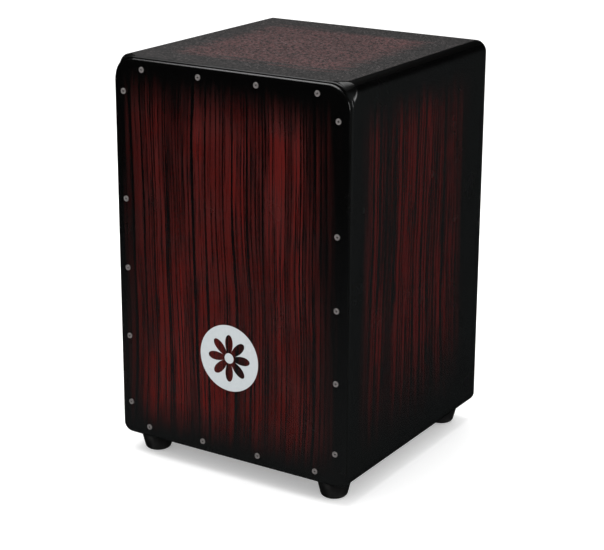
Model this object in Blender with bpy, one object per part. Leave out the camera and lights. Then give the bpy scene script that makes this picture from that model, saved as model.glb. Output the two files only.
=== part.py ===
"""Cajon: a box drum that is sat on and played with the hands.

Metres, +Z up.  The tapa, the thin striking face, looks towards -Y, and +X is to its right.
The origin is on the floor, at the middle of the box that holds the whole instrument.

The snare bar inside turns about PIVOT.  A tension bolt, reached through the sound port, pushes
the bar's upper part forward, so that the snare wires lie against the back of the tapa.
"""
import math

import bmesh
import bpy
from mathutils import Matrix, Vector

# Driving dimensions
BODY_W = 0.305          # over the side panels
BODY_D = 0.305          # tapa's face to the back edge
BODY_H = 0.446          # over the base and seat panels, without the feet
FOOT_H = 0.022
GAP = 0.0003            # between two pieces that touch

PANEL_T = 0.018
TAPA_T = 0.0032
TAPA_INSET = 0.0018     # the tapa's outline inside the shell's, all round
BACK_T = 0.005
RABBET_W = 0.009        # what the rabbet for the back panel leaves of a shell panel's edge

FRONT_CORNER_R = 0.026  # top corners, at the shell's front rim
TAPA_CORNER_R = 0.0265  # the tapa's top corners
EDGE_R = 0.013          # the four long edges that run from front to back
CORNER_HOLD = 0.002     # behind the front rim: where the front corners start to tighten
CORNER_BLEND = 0.0115   # behind the front rim: where they have run out into the long edges
SHELL_ROUND = 0.0020    # roundover of the shell's front and back rims
TAPA_ROUND = 0.0028     # roundover of the tapa's front edge

PORT_R = 0.059
PORT_Z = 0.290

SCREW_HEAD_R = 0.0033
SCREW_HEAD_H = 0.0014
SCREW_SHANK_R = 0.0016
SCREW_LENGTH = 0.022
SCREW_HOLE_SPARE = 0.001
SCREW_ROW_X = (-0.1125, -0.0372, 0.0372, 0.1125)
SCREW_SIDE_X = 0.138
SCREW_TOP_Z = 0.433     # the screws' heights are above the body's underside
SCREW_BOTTOM_Z = 0.014
SCREW_SIDE_Z = (0.4068, 0.2843, 0.2033, 0.1214, 0.0402)

FOOT_X = 0.121
FOOT_Y = 0.1255
FOOT_TOP_R = 0.0195
FOOT_BOTTOM_R = 0.0155
FOOT_TOP_BREAK = 0.0012
FOOT_EDGE_R = 0.005     # rounding of the lower edge
FOOT_RECESS_R = 0.0068
FOOT_SEAT_Z = 0.010     # the ledge inside that the screw's head pulls on
FOOT_SCREW_HEAD_R = 0.0046
FOOT_SCREW_HEAD_H = 0.0024
FOOT_SCREW_LENGTH = 0.018
FOOT_HOLE_DEPTH = 0.007

BLOCK_LEG = 0.022       # triangular glue blocks in the corners
BLOCK_BLUNT = 0.002
BLOCK_FRONT_GAP = 0.012
BLOCK_BACK_GAP = 0.003

# Where the body lies: the screw heads stand proud of the tapa, and the whole is centred in Y
Y_BACK = (BODY_D + GAP + SCREW_HEAD_H) / 2
Y_FACE = Y_BACK - BODY_D
Y_TAPA_BACK = Y_FACE + TAPA_T
Y_SHELL = Y_TAPA_BACK + GAP
Y_MIDDLE = (Y_FACE + Y_BACK) / 2
Z_LOW = FOOT_H
Z_TOP = FOOT_H + BODY_H
INNER_X = BODY_W / 2 - PANEL_T
INNER_LOW = Z_LOW + PANEL_T
INNER_TOP = Z_TOP - PANEL_T
Y_RABBET = Y_BACK - BACK_T - GAP

# Snare system
SNARE_BAR_W = 0.219
SNARE_BAR_T = 0.012
SNARE_BAR_LOW = 0.280
SNARE_BAR_TOP = 0.330
PIVOT = Vector((0, Y_TAPA_BACK + 0.0145, 0.290))
PIN_R = 0.003
PIN_LENGTH = 0.041
PIN_CHAMFER = 0.0006
PIN_IN_BAR = 0.0206
PIN_HOLE_DEPTH = 0.021
BLOCK_BORE_DEPTH = 0.0215
WOOD_BEVEL = 0.0015
BLOCK_W = 0.024
BLOCK_D = 0.030
BLOCK_AHEAD = 0.010     # the bearing block's front face, ahead of the pivot
BLOCK_H = 0.044
STRANDS = 10
STRAND_PITCH = 0.0042
STRAND_W = 0.0014
STRAND_TILT = math.radians(14)
STRAND_FAN = math.radians(0.5)
WIRE_TOP = 0.436        # height of the strands' free ends
WIRE_CENTRE_X = 0.046
PLATE_LOW = 0.303
PLATE_TOP = 0.315
PLATE_T = 0.001
CLAMP_W = 0.062
CLAMP_H = 0.011
CLAMP_T = 0.0015
CLAMP_SCREW_X = 0.0262
CLAMP_SCREW_HEAD_R = 0.0030
CLAMP_SCREW_HEAD_H = 0.0016
CLAMP_SCREW_SHANK_R = 0.0015
CLAMP_SCREW_LENGTH = 0.0105
CLAMP_HOLE_DEPTH = 0.0095
BOLT_Z = 0.318
BOLT_R = 0.003
BOLT_HEAD_R = 0.005
BOLT_HEAD_H = 0.006
BOLT_HEAD_GAP = 0.002   # between the head and the anchor bar's back
BOLT_CHAMFER = 0.0006
HEX_R = 0.0029          # corner radius of the hex socket
HEX_DEPTH = 0.0035
PAD_R = 0.008
PAD_H = 0.0075
PAD_DOME_R = 0.012
PAD_BORE_DEPTH = 0.003
PAD_BREAK = 0.0004
ANCHOR_FRONT = -0.100
ANCHOR_D = 0.020
ANCHOR_H = 0.030
NUT_FLANGE_R = 0.0095
NUT_FLANGE_T = 0.0015
NUT_BARREL_R = 0.004
NUT_LENGTH = 0.010

MATERIALS = {           # name: (colour, roughness, metallic)
    "tapa_print": ((0.055, 0.008, 0.006), 0.22, 0.0),
    "shell_lacquer": ((0.012, 0.006, 0.006), 0.20, 0.0),
    "seat_grit": ((0.060, 0.035, 0.035), 0.75, 0.0),
    "back_ply": ((0.012, 0.012, 0.012), 0.35, 0.0),
    "bare_wood": ((0.520, 0.340, 0.190), 0.65, 0.0),
    "screw_steel": ((0.420, 0.390, 0.360), 0.30, 1.0),
    "snare_steel": ((0.550, 0.550, 0.550), 0.28, 1.0),
    "black_steel": ((0.030, 0.030, 0.030), 0.40, 1.0),
    "foot_rubber": ((0.010, 0.010, 0.010), 0.60, 0.0),
}


# Helpers

def clear_scene():
    for item in list(bpy.data.objects):
        bpy.data.objects.remove(item, do_unlink=True)


def make_material(name):
    colour, roughness, metallic = MATERIALS[name]
    material = bpy.data.materials.get(name) or bpy.data.materials.new(name)
    material.use_nodes = True
    shader = material.node_tree.nodes["Principled BSDF"]
    shader.inputs["Base Color"].default_value = (*colour, 1)
    shader.inputs["Roughness"].default_value = roughness
    shader.inputs["Metallic"].default_value = metallic
    material.diffuse_color = (*colour, 1)
    return material


def add_object(name, mesh, material=None, place=None, parent=None):
    """Put a mesh into the scene as an object, with its location and rotation from place."""
    item = bpy.data.objects.new(name, mesh)
    bpy.context.scene.collection.objects.link(item)
    if place is not None:
        item.matrix_world = place
    if parent is not None:
        item.parent = parent
        item.matrix_parent_inverse = parent.matrix_world.inverted()
    if material is not None and not mesh.materials:
        mesh.materials.append(make_material(material))
    return item


def mesh_from(build, name, smooth=False):
    """Run build(bm) on an empty bmesh and return the mesh, its faces pointing out."""
    bm = bmesh.new()
    build(bm)
    bmesh.ops.recalc_face_normals(bm, faces=bm.faces)
    mesh = bpy.data.meshes.new(name)
    bm.to_mesh(mesh)
    bm.free()
    if smooth:
        mesh.shade_smooth()
        mesh.set_sharp_from_angle(angle=math.radians(35))
    return mesh


def cut(item, cutter):
    modifier = item.modifiers.new("cut", "BOOLEAN")
    modifier.operation = "DIFFERENCE"
    modifier.solver = "EXACT"
    modifier.object = cutter


def as_cutter(item):
    item.hide_render = True
    item.display_type = "WIRE"
    return item


def baked(item, name):
    """The object's mesh as its modifiers leave it, for several objects to share."""
    depsgraph = bpy.context.evaluated_depsgraph_get()
    mesh = bpy.data.meshes.new_from_object(item.evaluated_get(depsgraph))
    mesh.name = name
    return mesh


def along(axis, origin):
    """A placement whose local +Z points along axis."""
    turn = Vector((0, 0, 1)).rotation_difference(Vector(axis))
    return Matrix.Translation(Vector(origin)) @ turn.to_matrix().to_4x4()


def box_mesh(name, low, high, bevel=0.0):
    """A box between two corners, relative to its own centre, and that centre."""
    low = Vector(low)
    high = Vector(high)
    centre = (low + high) / 2

    def build(bm):
        bmesh.ops.create_cube(bm, size=1, matrix=Matrix.Diagonal((*(high - low), 1)))
        if bevel:
            bmesh.ops.bevel(bm, geom=bm.edges[:], offset=bevel, segments=1, affect="EDGES",
                            clamp_overlap=True)

    return mesh_from(build, name), Matrix.Translation(centre)


def turned(profile, segments):
    """A builder that spins an (r, z) profile about Z; a profile that starts and ends at r = 0,
    or that closes on itself, gives a closed body."""
    def build(bm):
        verts = [bm.verts.new((r, 0, z)) for r, z in profile]
        closes = profile[0][0] > 0
        pairs = list(zip(verts, verts[1:]))
        if closes:
            pairs.append((verts[-1], verts[0]))
        edges = [bm.edges.new(pair) for pair in pairs]
        bmesh.ops.spin(bm, geom=verts + edges, cent=(0, 0, 0), axis=(0, 0, 1),
                       angle=2 * math.pi, steps=segments, use_merge=True)
        bmesh.ops.remove_doubles(bm, verts=bm.verts, dist=1e-6)

    return build


def prism_between(bm, outline_low, outline_high):
    """Join two outlines of equally many points into a closed body with flat ends."""
    low = [bm.verts.new(point) for point in outline_low]
    high = [bm.verts.new(point) for point in outline_high]
    count = len(low)
    bm.faces.new(low)
    bm.faces.new(high)
    for i in range(count):
        j = (i + 1) % count
        bm.faces.new((low[i], low[j], high[j], high[i]))


# The body's outline: a rectangle whose corners are arcs

def smooth_step(t):
    t = min(max(t, 0.0), 1.0)
    return t * t * (3 - 2 * t)


def corner_radius(corner, behind):
    """Radius of corner 0 to 3 (top right, top left, bottom left, bottom right) at a distance
    behind the shell's front rim."""
    if corner in (0, 1):
        t = smooth_step((behind - CORNER_HOLD) / (CORNER_BLEND - CORNER_HOLD))
        return FRONT_CORNER_R + (EDGE_R - FRONT_CORNER_R) * t
    return EDGE_R


def corner_arc(corner, radius, inset, first, last, steps, margin=0.0):
    """Points (x, z) of one corner's arc between two angles, counted from the arc's middle, in a
    rectangle that lies a margin inside the body's."""
    side = 1 if corner in (0, 3) else -1
    up = corner in (0, 1)
    centre_x = side * (BODY_W / 2 - margin - radius)
    centre_z = Z_TOP - margin - radius if up else Z_LOW + margin + radius
    middle = math.radians(45 + 90 * corner)
    points = []
    for i in range(steps + 1):
        angle = middle + first + (last - first) * i / steps
        reach = radius - inset
        points.append((centre_x + reach * math.cos(angle), centre_z + reach * math.sin(angle)))
    return points


def rim_inset(depth, radius):
    """How far a rounded rim draws the outline in, at a depth below its flat end."""
    if depth >= radius:
        return 0.0
    return radius - math.sqrt(radius ** 2 - (radius - depth) ** 2)


def rim_depths(radius, steps):
    return [radius * (1 - math.cos(math.pi / 2 * i / steps)) for i in range(steps + 1)]


# Shell

def shell_stations():
    """Distances behind the shell's front rim at which its outline is set, front to back."""
    length = Y_BACK - Y_SHELL
    blend_steps = 7
    stations = rim_depths(SHELL_ROUND, 3)
    for i in range(1, blend_steps + 1):
        stations.append(SHELL_ROUND + (CORNER_BLEND - SHELL_ROUND) * i / blend_steps)
    stations += [length - depth for depth in reversed(rim_depths(SHELL_ROUND, 3))]
    return stations


def panel_outline(corner, behind):
    """Outer points (x, z) of the panel that runs from a corner to the next one."""
    length = Y_BACK - Y_SHELL
    inset = rim_inset(min(behind, length - behind), SHELL_ROUND)
    following = (corner + 1) % 4
    quarter = math.pi / 4
    steps = 4
    radius = corner_radius(corner, behind)
    start = math.asin(GAP / 2 / (radius - inset))
    points = corner_arc(corner, radius, inset, start, quarter, steps)
    radius = corner_radius(following, behind)
    end = math.asin(GAP / 2 / (radius - inset))
    points += corner_arc(following, radius, inset, -quarter, -end, steps)
    return points


def panel_inner(corner, thickness):
    """The two inner points (x, z) of the same panel, at a thickness in from its face."""
    shift = GAP / 2 * math.sqrt(2)
    x = BODY_W / 2 - thickness
    low = Z_LOW + thickness
    top = Z_TOP - thickness
    ends = {
        0: ((x - shift, top), (shift - x, top)),
        1: ((-x, top - shift), (-x, low + shift)),
        2: ((shift - x, low), (x - shift, low)),
        3: ((x, low + shift), (x, top - shift)),
    }
    return ends[corner]


def build_panel(corner):
    """A shell panel, mitred at both ends, with a rabbet at its back for the back panel."""
    def build(bm):
        rings = []
        for behind in shell_stations():
            y = Y_SHELL + behind
            rings.append([bm.verts.new((x, y, z)) for x, z in panel_outline(corner, behind)])
        inner = []
        for y, thickness in ((Y_SHELL, PANEL_T), (Y_RABBET, PANEL_T),
                             (Y_RABBET, RABBET_W), (Y_BACK, RABBET_W)):
            inner.append([bm.verts.new((x, y, z)) for x, z in panel_inner(corner, thickness)])
        for ring, following in zip(rings, rings[1:]):
            for i in range(len(ring) - 1):
                bm.faces.new((ring[i], ring[i + 1], following[i + 1], following[i]))
        for pair, following in zip(inner, inner[1:]):
            bm.faces.new((pair[0], pair[1], following[1], following[0]))
        bm.faces.new(rings[0] + [inner[0][1], inner[0][0]])
        bm.faces.new(rings[-1] + [inner[-1][1], inner[-1][0]])
        bm.faces.new([ring[0] for ring in rings] + [pair[0] for pair in reversed(inner)])
        bm.faces.new([ring[-1] for ring in rings] + [pair[1] for pair in reversed(inner)])

    return build


def make_shell(pilot_holes, foot_holes):
    names = ("seat_panel", "side_panel_left", "base_panel", "side_panel_right")
    for corner, name in enumerate(names):
        mesh = mesh_from(build_panel(corner), name, smooth=True)
        panel = add_object(name, mesh, "seat_grit" if corner == 0 else "shell_lacquer")
        cut(panel, pilot_holes)
        if name == "base_panel":
            cut(panel, foot_holes)


def build_tapa(bm):
    """The thin front plate: a little smaller than the shell, with a rounded front edge."""
    rings = []
    depths = rim_depths(TAPA_ROUND, 3) + [TAPA_T]
    for depth in depths:
        inset = rim_inset(depth, TAPA_ROUND)
        points = []
        for corner in range(4):
            radius = TAPA_CORNER_R if corner in (0, 1) else EDGE_R - TAPA_INSET
            quarter = math.pi / 4
            points += corner_arc(corner, radius, inset, -quarter, quarter, 8, TAPA_INSET)
        rings.append([bm.verts.new((x, Y_FACE + depth, z)) for x, z in points])
    bm.faces.new(rings[0])
    bm.faces.new(rings[-1])
    for ring, following in zip(rings, rings[1:]):
        for i in range(len(ring)):
            j = (i + 1) % len(ring)
            bm.faces.new((ring[i], ring[j], following[j], following[i]))


def make_back_panel():
    x = BODY_W / 2 - RABBET_W - GAP
    low = (-x, Y_BACK - BACK_T, Z_LOW + RABBET_W + GAP)
    high = (x, Y_BACK, Z_TOP - RABBET_W - GAP)
    mesh, place = box_mesh("back_panel", low, high)
    panel = add_object("back_panel", mesh, "back_ply", place)
    reach = 2 * BACK_T
    port = mesh_from(turned([(0, -reach), (PORT_R, -reach), (PORT_R, reach), (0, reach)], 48),
                     "port_cutter")
    cutter = add_object("port_cutter", port, None, along((0, 1, 0), (0, Y_BACK, PORT_Z)))
    cut(panel, as_cutter(cutter))


def make_corner_blocks():
    """Triangular glue blocks along the four inner corners."""
    leg, blunt = BLOCK_LEG, BLOCK_BLUNT
    front = Y_SHELL + BLOCK_FRONT_GAP
    back = Y_RABBET - BLOCK_BACK_GAP
    for side, across in ((-1, "left"), (1, "right")):
        for up, level in ((-1, "bottom"), (1, "top")):
            x = side * (INNER_X - GAP)
            z = INNER_TOP - GAP if up > 0 else INNER_LOW + GAP
            outline = ((0, 0), (leg, 0), (leg, blunt), (blunt, leg), (0, leg))
            points = [(x - side * a, z - up * b) for a, b in outline]

            def build(bm):
                prism_between(bm, [(px, front, pz) for px, pz in points],
                              [(px, back, pz) for px, pz in points])

            name = f"corner_block_{level}_{across}"
            add_object(name, mesh_from(build, name), "bare_wood")


# Screws and feet

def plus_outline(arm, width, z):
    """Twelve points of a plus sign, counter-clockwise."""
    a = arm / 2
    w = width / 2
    return [(a, -w, z), (a, w, z), (w, w, z), (w, a, z), (-w, a, z), (-w, w, z),
            (-a, w, z), (-a, -w, z), (-w, -w, z), (-w, -a, z), (w, -a, z), (w, -w, z)]


def screw_mesh(name, head_r, head_h, shank_r, length, segments=12):
    """A pan-head screw along Z: the head's underside at z = GAP, the shank pointing down."""
    tip = 0.3 * length
    profile = [(0, GAP + head_h), (0.55 * head_r, GAP + 0.92 * head_h),
               (head_r, GAP + 0.35 * head_h), (head_r, GAP), (shank_r, GAP),
               (shank_r, tip - length), (0, -length)]
    blank = add_object(name + "_blank", mesh_from(turned(profile, segments), name, smooth=True))
    top = GAP + head_h + 0.0005
    floor = GAP + 0.30 * head_h

    def recess(bm):
        prism_between(bm, plus_outline(0.55 * head_r, 0.13 * head_r, floor),
                      plus_outline(1.15 * head_r, 0.30 * head_r, top))

    cutter = add_object(name + "_recess", mesh_from(recess, name + "_recess"))
    cut(blank, cutter)
    mesh = baked(blank, name)
    bpy.data.objects.remove(blank, do_unlink=True)
    bpy.data.objects.remove(cutter, do_unlink=True)
    return mesh


def tapa_screw_places():
    """Name and place (x, z) of each screw round the tapa."""
    places = []
    for level, z in (("top", SCREW_TOP_Z), ("bottom", SCREW_BOTTOM_Z)):
        for i, x in enumerate(SCREW_ROW_X, 1):
            places.append((f"tapa_screw_{level}_{i}", x, Z_LOW + z))
    for side, across in ((-1, "left"), (1, "right")):
        for i, z in enumerate(SCREW_SIDE_Z, 1):
            places.append((f"tapa_screw_{across}_{i}", side * SCREW_SIDE_X, Z_LOW + z))
    return places


def make_tapa_screws():
    mesh = screw_mesh("tapa_screw", SCREW_HEAD_R, SCREW_HEAD_H, SCREW_SHANK_R, SCREW_LENGTH)
    mesh.materials.append(make_material("screw_steel"))
    for i, (name, x, z) in enumerate(tapa_screw_places()):
        twist = Matrix.Rotation(math.radians(37 * i % 90), 4, "Z")
        add_object(name, mesh, place=along((0, -1, 0), (x, Y_FACE, z)) @ twist)


def hole_cutter(name, places, axis, radius, length, segments=12):
    """Round bars along an axis, one through each place, joined into one cutter."""
    def build(bm):
        for place in places:
            bmesh.ops.create_cone(bm, cap_ends=True, segments=segments, radius1=radius,
                                  radius2=radius, depth=length, matrix=along(axis, place))

    return as_cutter(add_object(name, mesh_from(build, name)))


def foot_places():
    places = []
    for y, depth in ((-FOOT_Y, "front"), (FOOT_Y, "back")):
        for x, across in ((-FOOT_X, "left"), (FOOT_X, "right")):
            places.append((f"{depth}_{across}", x, Y_MIDDLE + y))
    return places


def foot_mesh():
    """A tapered rubber foot, hollowed from below for its screw."""
    top = FOOT_H - GAP
    hole = SCREW_SHANK_R + GAP
    profile = [(hole, top), (FOOT_TOP_R - FOOT_TOP_BREAK, top), (FOOT_TOP_R, top - FOOT_TOP_BREAK)]
    steps = 4
    for i in range(steps + 1):
        angle = math.pi / 2 * i / steps
        profile.append((FOOT_BOTTOM_R - FOOT_EDGE_R * (1 - math.cos(angle)),
                        FOOT_EDGE_R * (1 - math.sin(angle))))
    profile += [(FOOT_RECESS_R, 0), (FOOT_RECESS_R, FOOT_SEAT_Z), (hole, FOOT_SEAT_Z)]
    return mesh_from(turned(profile, 20), "foot", smooth=True)


def make_feet():
    foot = foot_mesh()
    foot.materials.append(make_material("foot_rubber"))
    screw = screw_mesh("foot_screw", FOOT_SCREW_HEAD_R, FOOT_SCREW_HEAD_H, SCREW_SHANK_R,
                       FOOT_SCREW_LENGTH)
    screw.materials.append(make_material("screw_steel"))
    for name, x, y in foot_places():
        add_object("foot_" + name, foot, place=Matrix.Translation((x, y, 0)))
        add_object("foot_screw_" + name, screw, place=along((0, 0, -1), (x, y, FOOT_SEAT_Z)))


# Snare system

def empty_at(name, place):
    item = bpy.data.objects.new(name, None)
    item.location = place
    bpy.context.scene.collection.objects.link(item)
    bpy.context.view_layer.update()
    return item


def make_snare_bar(hinge):
    """The flat wooden bar that carries the wires, drilled at its ends for the pivot pins."""
    half = SNARE_BAR_T / 2
    low = (-SNARE_BAR_W / 2, PIVOT.y - half, SNARE_BAR_LOW)
    high = (SNARE_BAR_W / 2, PIVOT.y + half, SNARE_BAR_TOP)
    mesh, place = box_mesh("snare_bar", low, high, bevel=WOOD_BEVEL)
    bar = add_object("snare_bar", mesh, "bare_wood", place, hinge)
    ends = [(side * SNARE_BAR_W / 2, PIVOT.y, PIVOT.z) for side in (-1, 1)]
    cut(bar, hole_cutter("pin_holes", ends, (1, 0, 0), PIN_R + GAP, 2 * PIN_HOLE_DEPTH))
    front = PIVOT.y - half
    places = [(side * WIRE_CENTRE_X + offset, front, (PLATE_LOW + PLATE_TOP) / 2)
              for side in (-1, 1) for offset in (-CLAMP_SCREW_X, CLAMP_SCREW_X)]
    cut(bar, hole_cutter("clamp_screw_holes", places, (0, 1, 0), CLAMP_SCREW_SHANK_R + GAP,
                         2 * CLAMP_HOLE_DEPTH))
    cut(bpy.data.objects["clamp_plate_left"], bpy.data.objects["clamp_screw_holes"])
    cut(bpy.data.objects["clamp_plate_right"], bpy.data.objects["clamp_screw_holes"])


def make_pivot_pins(hinge):
    tip_r = PIN_R - PIN_CHAMFER
    profile = [(0, 0), (tip_r, 0), (PIN_R, PIN_CHAMFER), (PIN_R, PIN_LENGTH - PIN_CHAMFER),
               (tip_r, PIN_LENGTH), (0, PIN_LENGTH)]
    mesh = mesh_from(turned(profile, 12), "pivot_pin", smooth=True)
    mesh.materials.append(make_material("screw_steel"))
    start = SNARE_BAR_W / 2 - PIN_IN_BAR
    for side, across in ((-1, "left"), (1, "right")):
        place = along((side, 0, 0), (side * start, PIVOT.y, PIVOT.z))
        add_object("pivot_pin_" + across, mesh, place=place, parent=hinge)


def make_bearing_blocks():
    for side, across in ((-1, "left"), (1, "right")):
        edges = sorted((side * (INNER_X - GAP), side * (INNER_X - GAP - BLOCK_W)))
        low = (edges[0], PIVOT.y - BLOCK_AHEAD, PIVOT.z - BLOCK_H / 2)
        high = (edges[1], PIVOT.y - BLOCK_AHEAD + BLOCK_D, PIVOT.z + BLOCK_H / 2)
        name = "bearing_block_" + across
        mesh, place = box_mesh(name, low, high, bevel=WOOD_BEVEL)
        block = add_object(name, mesh, "bare_wood", place)
        inner = (side * (INNER_X - GAP - BLOCK_W), PIVOT.y, PIVOT.z)
        bore = hole_cutter("bearing_bore_" + across, [inner], (1, 0, 0), PIN_R + GAP,
                           2 * BLOCK_BORE_DEPTH)
        cut(block, bore)


def strand_points(centre, side, index):
    """Foot and free end of a strand's middle line: (x, y, z) each."""
    from_middle = index - (STRANDS - 1) / 2
    x = centre + from_middle * STRAND_PITCH
    angle = side * STRAND_TILT + from_middle * STRAND_FAN
    end_x = x + (WIRE_TOP - PLATE_TOP) * math.tan(angle)
    foot_y = PIVOT.y - SNARE_BAR_T / 2 - GAP - PLATE_T / 2
    end_y = Y_TAPA_BACK + GAP + PLATE_T / 2
    return (x, foot_y, PLATE_TOP), (end_x, end_y, WIRE_TOP)


def build_wires(centre, side):
    """A comb: the end plate and its strands, as one sheet that is given a thickness."""
    def build(bm):
        row_low = []
        row_top = []
        tips = []
        for index in range(STRANDS):
            foot, end = strand_points(centre, side, index)
            for offset in (-STRAND_W / 2, STRAND_W / 2):
                row_low.append((foot[0] + offset, foot[1], PLATE_LOW))
                row_top.append((foot[0] + offset, foot[1], PLATE_TOP))
                tips.append((end[0] + offset, end[1], WIRE_TOP))
        ends = []
        for shift in (-PLATE_T / 2, PLATE_T / 2):
            ends.append([[bm.verts.new((x, y + shift, z)) for x, y, z in row]
                         for row in (row_low, row_top, tips)])
        (low_a, top_a, tip_a), (low_b, top_b, tip_b) = ends
        last = 2 * STRANDS - 1
        for i in range(last):
            for low, top in ((low_a, top_a), (low_b, top_b)):
                bm.faces.new((low[i], low[i + 1], top[i + 1], top[i]))
            bm.faces.new((low_a[i], low_a[i + 1], low_b[i + 1], low_b[i]))
            if i % 2:
                bm.faces.new((top_a[i], top_a[i + 1], top_b[i + 1], top_b[i]))
                continue
            for top, tip in ((top_a, tip_a), (top_b, tip_b)):
                bm.faces.new((top[i], top[i + 1], tip[i + 1], tip[i]))
            bm.faces.new((tip_a[i], tip_a[i + 1], tip_b[i + 1], tip_b[i]))
            for j in (i, i + 1):
                bm.faces.new((top_a[j], tip_a[j], tip_b[j], top_b[j]))
        for i in (0, last):
            bm.faces.new((low_a[i], top_a[i], top_b[i], low_b[i]))

    return build


def make_snare_wires(hinge):
    for side, across in ((-1, "left"), (1, "right")):
        name = "snare_wires_" + across
        mesh = mesh_from(build_wires(side * WIRE_CENTRE_X, side), name)
        add_object(name, mesh, "snare_steel", parent=hinge)


def make_clamps(hinge):
    """The straps and screws that hold the wires' end plates on the bar."""
    back = PIVOT.y - SNARE_BAR_T / 2 - PLATE_T - 2 * GAP
    z = (PLATE_LOW + PLATE_TOP) / 2
    screw = screw_mesh("clamp_screw", CLAMP_SCREW_HEAD_R, CLAMP_SCREW_HEAD_H,
                       CLAMP_SCREW_SHANK_R, CLAMP_SCREW_LENGTH, segments=10)
    screw.materials.append(make_material("black_steel"))
    for side, across in ((-1, "left"), (1, "right")):
        x = side * WIRE_CENTRE_X
        low = (x - CLAMP_W / 2, back - CLAMP_T, z - CLAMP_H / 2)
        high = (x + CLAMP_W / 2, back, z + CLAMP_H / 2)
        name = "clamp_plate_" + across
        mesh, place = box_mesh(name, low, high)
        add_object(name, mesh, "black_steel", place, hinge)
        for offset, end in ((-CLAMP_SCREW_X, "outer"), (CLAMP_SCREW_X, "inner")):
            place = along((0, -1, 0), (x + side * -offset, back - CLAMP_T, z))
            add_object(f"clamp_screw_{across}_{end}", screw, place=place, parent=hinge)


def make_anchor_bar():
    """The fixed cross bar that holds the T-nut."""
    low = (GAP - INNER_X, ANCHOR_FRONT, BOLT_Z - ANCHOR_H / 2)
    high = (INNER_X - GAP, ANCHOR_FRONT + ANCHOR_D, BOLT_Z + ANCHOR_H / 2)
    mesh, place = box_mesh("anchor_bar", low, high, bevel=WOOD_BEVEL)
    bar = add_object("anchor_bar", mesh, "bare_wood", place)
    middle = (0, ANCHOR_FRONT + ANCHOR_D / 2, BOLT_Z)
    cut(bar, hole_cutter("nut_hole", [middle], (0, 1, 0), NUT_BARREL_R + GAP, 1.5 * ANCHOR_D))


def make_t_nut():
    """Flange against the bar's front face, barrel in its hole; local Z runs to the back."""
    bore = BOLT_R + GAP
    profile = [(bore, 0), (NUT_FLANGE_R, 0), (NUT_FLANGE_R, NUT_FLANGE_T),
               (NUT_BARREL_R, NUT_FLANGE_T), (NUT_BARREL_R, NUT_LENGTH), (bore, NUT_LENGTH)]
    mesh = mesh_from(turned(profile, 18), "t_nut", smooth=True)
    front = ANCHOR_FRONT - GAP - NUT_FLANGE_T
    add_object("t_nut", mesh, "screw_steel", along((0, 1, 0), (0, front, BOLT_Z)))


def pad_front():
    return PIVOT.y + SNARE_BAR_T / 2 + GAP


def make_pressure_pad():
    """A round pad with a domed front, drilled from behind for the bolt's tip."""
    bore = BOLT_R + 2 * GAP
    profile = [(0, 0)]
    dome_steps = 4
    edge = PAD_R - PAD_BREAK
    for i in range(1, dome_steps + 1):
        angle = math.asin(edge / PAD_DOME_R) * i / dome_steps
        profile.append((PAD_DOME_R * math.sin(angle), PAD_DOME_R * (1 - math.cos(angle))))
    bore_floor = PAD_H - PAD_BORE_DEPTH
    profile += [(PAD_R, profile[-1][1] + PAD_BREAK), (PAD_R, PAD_H), (bore, PAD_H),
                (bore, bore_floor), (0, bore_floor)]
    mesh = mesh_from(turned(profile, 18), "pressure_pad", smooth=True)
    place = along((0, 1, 0), (0, pad_front(), BOLT_Z))
    return add_object("pressure_pad", mesh, "screw_steel", place)


def make_tension_bolt(pad):
    """A socket-head bolt along Y: its tip in the pad, its head behind the anchor bar."""
    tip = pad_front() + PAD_H - PAD_BORE_DEPTH + GAP
    under_head = ANCHOR_FRONT + ANCHOR_D + BOLT_HEAD_GAP
    shank = under_head - tip
    end = shank + BOLT_HEAD_H
    chamfer = BOLT_CHAMFER
    profile = [(0, 0), (BOLT_R - chamfer, 0), (BOLT_R, chamfer), (BOLT_R, shank),
               (BOLT_HEAD_R, shank), (BOLT_HEAD_R, end - chamfer), (BOLT_HEAD_R - chamfer, end),
               (0, end)]
    mesh = mesh_from(turned(profile, 18), "tension_bolt", smooth=True)
    place = along((0, 1, 0), (0, tip, BOLT_Z))
    bolt = add_object("tension_bolt", mesh, "black_steel", place, pad)
    socket_middle = (0, tip + end, BOLT_Z)
    cut(bolt, hole_cutter("hex_socket", [socket_middle], (0, 1, 0), HEX_R, 2 * HEX_DEPTH,
                          segments=6))


def make_snare_system():
    hinge = empty_at("snare_pivot", PIVOT)
    make_snare_wires(hinge)
    make_clamps(hinge)
    make_snare_bar(hinge)
    make_pivot_pins(hinge)
    make_bearing_blocks()
    make_anchor_bar()
    make_t_nut()
    bpy.context.view_layer.update()
    make_tension_bolt(make_pressure_pad())


def main():
    clear_scene()
    screws = [(x, Y_FACE, z) for _, x, z in tapa_screw_places()]
    pilot_holes = hole_cutter("tapa_screw_holes", screws, (0, 1, 0), SCREW_SHANK_R + GAP,
                              2 * (SCREW_LENGTH + SCREW_HOLE_SPARE), segments=10)
    feet = [(x, y, Z_LOW) for _, x, y in foot_places()]
    foot_holes = hole_cutter("foot_screw_holes", feet, (0, 0, 1), SCREW_SHANK_R + GAP,
                             2 * FOOT_HOLE_DEPTH)
    make_shell(pilot_holes, foot_holes)
    tapa = add_object("tapa", mesh_from(build_tapa, "tapa", smooth=True), "tapa_print")
    cut(tapa, pilot_holes)
    make_back_panel()
    make_corner_blocks()
    make_tapa_screws()
    make_feet()
    make_snare_system()


main()
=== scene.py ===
import math

import bmesh
import bpy
from mathutils import Matrix, Vector


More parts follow.
